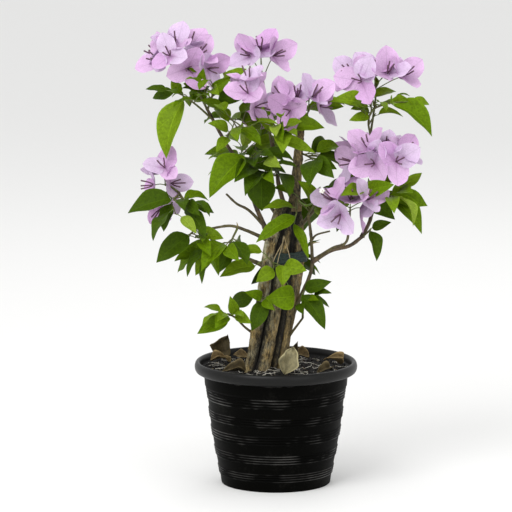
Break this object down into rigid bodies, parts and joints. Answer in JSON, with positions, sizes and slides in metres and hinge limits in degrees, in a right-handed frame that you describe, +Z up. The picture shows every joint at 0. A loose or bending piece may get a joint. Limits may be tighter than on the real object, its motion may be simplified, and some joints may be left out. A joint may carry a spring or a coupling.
{
  "type": "potted bougainvillea bush",
  "caption": "Bougainvillea bush with lilac bracts and green leaves on a trunk of fused canes, growing in a round black nursery pot.",
  "frame": {"origin": "centre of the pot's flat underside, where it stands on the ground", "axes": "+Z up along the pot's axis, +X to the right and -Y towards the viewer of the plant's front"},
  "size_m": [0.465, 0.2785, 0.7086],
  "materials": {
    "pot": "black moulded plastic, dull sheen, dusty",
    "soil": "loose dark potting mix",
    "bark": "rough brown and grey bark",
    "green_wood": "young bark, brown turning green",
    "tie": "dark blue-green tape",
    "leaves_dark": "dark green leaves, slight sheen",
    "leaves_mid": "mid green leaves, slight sheen",
    "leaves_bright": "bright green leaves, slight sheen",
    "bracts": "papery lilac bracts, matte"
  },
  "bodies": {
    "root": {"pot": "pot", "soil": "soil", "trunk": "bark", "tie_band": "tie", "bough_centre": "bark", "bough_middle": "bark", "bough_back_middle": "green_wood", "bough_top_left": "bark", "bough_left_middle": "green_wood", "stub_left": "green_wood", "bough_left_low": "green_wood", "bough_right": "green_wood", "bough_right_reach": "bark", "bough_right_top": "bark", "bough_right_fork": "green_wood", "stub_right": "green_wood", "twig_low_left": "green_wood", "twig_low_right": "green_wood", "bough_back_left": "green_wood", "bough_back_right": "green_wood", "bough_back_top": "green_wood", "leaves_top_left": "leaves_mid", "leaves_hanging_left": "leaves_bright", "leaves_upper_left": "leaves_mid", "leaves_upper_middle": "leaves_bright", "leaves_middle_left": "leaves_dark", "leaves_fork": "leaves_dark", "leaves_centre": "leaves_mid", "leaves_trunk_front": "leaves_bright", "leaves_left_middle": "leaves_dark", "leaves_centre_arm": "leaves_dark", "leaves_right_inner": "leaves_bright", "leaves_left_shoot": "leaves_mid", "leaves_left_low": "leaves_mid", "leaves_left": "leaves_dark", "leaves_low_left": "leaves_bright", "leaves_trunk_left": "leaves_mid", "leaves_low_right": "leaves_dark", "leaves_right_fork": "leaves_dark", "leaves_right": "leaves_mid", "leaves_top_right": "leaves_bright", "leaves_centre_right": "leaves_mid", "leaves_back_left": "leaves_mid", "leaves_back_right": "leaves_dark", "leaves_back_top": "leaves_mid", "leaves_back_low": "leaves_dark", "bloom_top_left": "bracts", "bloom_top_middle": "bracts", "bloom_front_middle": "bracts", "bloom_centre_right": "bracts", "bloom_top_right": "bracts", "bloom_right": "bracts", "bloom_right_low": "bracts", "bloom_left": "bracts", "bloom_back": "bracts", "bloom_back_right": "bracts"}
  },
  "joints": []
}
